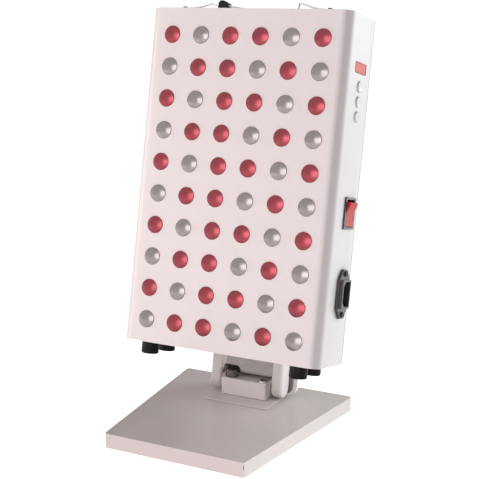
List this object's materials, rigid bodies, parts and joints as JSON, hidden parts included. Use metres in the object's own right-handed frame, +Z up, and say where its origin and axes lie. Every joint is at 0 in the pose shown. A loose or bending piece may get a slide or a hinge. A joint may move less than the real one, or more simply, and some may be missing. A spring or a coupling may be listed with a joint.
{
  "type": "red light therapy panel",
  "caption": "Desk-top light therapy panel with rows of red and clear lamps, side controls, rear fans and a tilting hinge on a heavy flat base.",
  "frame": {"origin": "centre of the whole part's bounding box, at the floor under the base's pads", "axes": "+Z up, the lamps face -Y, and the controls, switch and inlet are on the +X side"},
  "size_m": [0.2252, 0.22, 0.4233],
  "materials": {
    "panel_paint": "satin powder coat",
    "base_paint": "glossy paint",
    "cast_paint": "satin paint",
    "steel": "plated",
    "dark_steel": "blackened",
    "aluminium": "extruded",
    "black_plastic": "matte",
    "grey_plastic": "matte",
    "rubber": "matte",
    "red_plastic": "glossy",
    "button_plastic": "satin",
    "lens": "clear and tinted domes",
    "display_red": "tinted window",
    "board_green": "lacquered board",
    "board_white": "lacquered board",
    "brass": "bright"
  },
  "bodies": {
    "stand": {"base_shell": "base_paint", "ballast_plate": "dark_steel", "base_pad_1": "rubber", "base_pad_2": "rubber", "base_pad_3": "rubber", "base_pad_4": "rubber", "hinge_foot_plate": "base_paint", "hinge_block": "cast_paint", "pivot_shaft": "steel", "tension_bolt": "dark_steel", "block_screw": "steel", "friction_washer_left": "steel", "friction_washer_right": "steel"},
    "panel": {"yoke": "cast_paint", "stop_pad": "rubber", "stop_plate": "cast_paint", "stop_screw_left": "steel", "stop_screw_right": "steel", "flange_screw_1": "steel", "flange_screw_2": "steel", "flange_screw_3": "steel", "flange_screw_4": "steel", "nut_plate": "steel", "housing": "panel_paint", "rear_cover": "panel_paint", "cover_screw_1": "steel", "cover_screw_2": "steel", "cover_screw_3": "steel", "cover_screw_4": "steel", "lens_array": "lens", "led_board": "board_white", "heat_sink": "aluminium", "fan_frame_1": "black_plastic", "fan_frame_2": "black_plastic", "led_driver": "aluminium", "control_board": "board_green", "display_module": "black_plastic", "display_window": "display_red", "rocker_body": "black_plastic", "inlet_body": "grey_plastic", "inlet_pin_1": "brass", "inlet_pin_2": "brass", "inlet_pin_3": "brass", "inlet_screw_low": "steel", "inlet_screw_high": "steel", "bumper_foot_1": "rubber", "bumper_foot_2": "rubber", "bumper_foot_3": "rubber", "bumper_foot_4": "rubber", "hanging_wire": "steel", "wire_gripper": "black_plastic", "wire_eye_left": "dark_steel", "wire_eye_right": "dark_steel"},
    "push_button_1": {"push_button_1": "button_plastic"},
    "push_button_2": {"push_button_2": "button_plastic"},
    "push_button_3": {"push_button_3": "button_plastic"},
    "rocker_lever": {"rocker_lever": "red_plastic"},
    "fan_rotor_1": {"fan_rotor_1": "black_plastic"},
    "fan_rotor_2": {"fan_rotor_2": "black_plastic"}
  },
  "joints": [
    {"name": "panel_tilt", "type": "hinge", "parent": "stand", "child": "panel", "pos_m": [-0.0031, 0.04945, 0.0285], "axis": [1, 0, 0], "range_deg": [-9, 16.5]},
    {"name": "button_1_press", "type": "slide", "parent": "panel", "child": "push_button_1", "axis": [-1, 0, 0], "range_m": [0, 0.001], "stiffness_N_per_m": 1200, "springref_m": -0.0002},
    {"name": "button_2_press", "type": "slide", "parent": "panel", "child": "push_button_2", "axis": [-1, 0, 0], "range_m": [0, 0.001], "stiffness_N_per_m": 1200, "springref_m": -0.0002},
    {"name": "button_3_press", "type": "slide", "parent": "panel", "child": "push_button_3", "axis": [-1, 0, 0], "range_m": [0, 0.001], "stiffness_N_per_m": 1200, "springref_m": -0.0002},
    {"name": "power_rocker", "type": "hinge", "parent": "panel", "child": "rocker_lever", "pos_m": [0.10225, 0.04568, 0.22168], "axis": [0, 0.979, -0.204], "range_deg": [-18, 0]},
    {"name": "fan_1_spin", "type": "hinge", "parent": "panel", "child": "fan_rotor_1", "pos_m": [-0.0031, 0.08995, 0.22287], "axis": [0, 0.979, -0.204], "continuous": true},
    {"name": "fan_2_spin", "type": "hinge", "parent": "panel", "child": "fan_rotor_2", "pos_m": [-0.0031, 0.10953, 0.31686], "axis": [0, 0.979, -0.204], "continuous": true}
  ]
}
